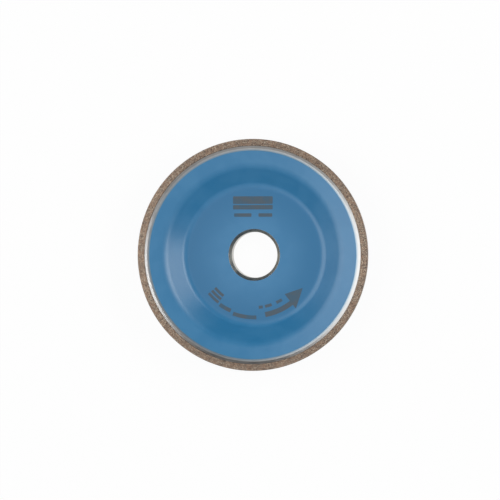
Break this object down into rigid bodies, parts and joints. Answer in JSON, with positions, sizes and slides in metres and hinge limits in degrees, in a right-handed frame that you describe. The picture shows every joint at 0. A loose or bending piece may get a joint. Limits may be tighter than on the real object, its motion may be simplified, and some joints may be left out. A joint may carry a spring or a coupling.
{
  "type": "diamond cutting disc",
  "caption": "Dished diamond wheel for grinding tool edges: a flat recessed hub with a centre bore, inner cones, a bare metal ring and a narrow bonded diamond rim.",
  "frame": {"origin": "centre of the bore at the flat back face of the hub, which the wheel rests on", "axes": "+Z along the bore axis towards the open side with the abrasive rim; +X and +Y lie in the back face, with +Y towards the printed panel above the bore"},
  "size_m": [0.1, 0.1, 0.016],
  "materials": {
    "coated_body": "satin",
    "bare_metal": "satin",
    "diamond_bond": "matte",
    "marking_ink": "matte"
  },
  "bodies": {
    "root": {"wheel_body": "coated_body", "abrasive_rim": "diamond_bond"}
  },
  "joints": []
}
